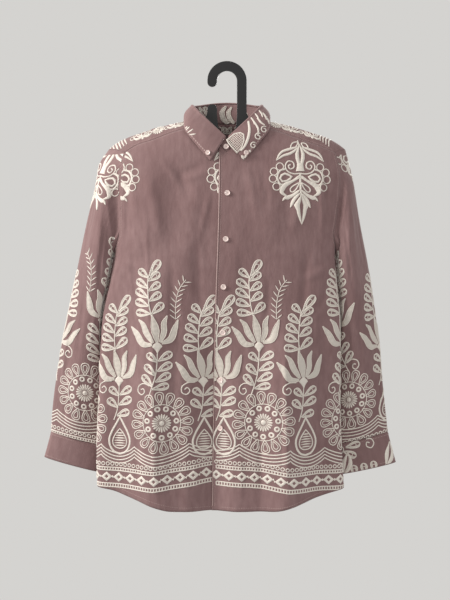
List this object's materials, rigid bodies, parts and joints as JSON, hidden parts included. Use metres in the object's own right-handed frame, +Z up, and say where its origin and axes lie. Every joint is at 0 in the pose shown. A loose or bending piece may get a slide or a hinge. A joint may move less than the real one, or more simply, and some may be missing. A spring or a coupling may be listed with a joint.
{
  "type": "embroidered shirt on a hanger",
  "caption": "Long-sleeved dusty-mauve cotton shirt with cream leaf, flower and damask embroidery, on a flat black plastic hanger",
  "frame": {"origin": "inner top of the hanger's hook, where it rests on its peg", "axes": "+X to the viewer's right, -Y toward the shirt's front, +Z up"},
  "size_m": [0.6729, 0.1405, 0.8457],
  "materials": {
    "cloth": "matte",
    "button": "gloss",
    "hanger": "satin"
  },
  "bodies": {
    "root": {"front_right": "cloth", "front_left": "cloth", "back": "cloth", "yoke": "cloth", "sleeve_right": "cloth", "sleeve_left": "cloth", "sleeve_placket_right": "cloth", "sleeve_placket_left": "cloth", "cuff_right": "cloth", "cuff_left": "cloth", "collar_stand": "cloth", "collar_leaf": "cloth", "button_front_1": "button", "button_front_2": "button", "button_front_3": "button", "button_front_4": "button", "button_front_5": "button", "button_front_6": "button", "button_front_7": "button", "button_collar_right": "button", "button_collar_left": "button", "button_cuff_right": "button", "button_cuff_left": "button", "hanger": "hanger"}
  },
  "joints": []
}
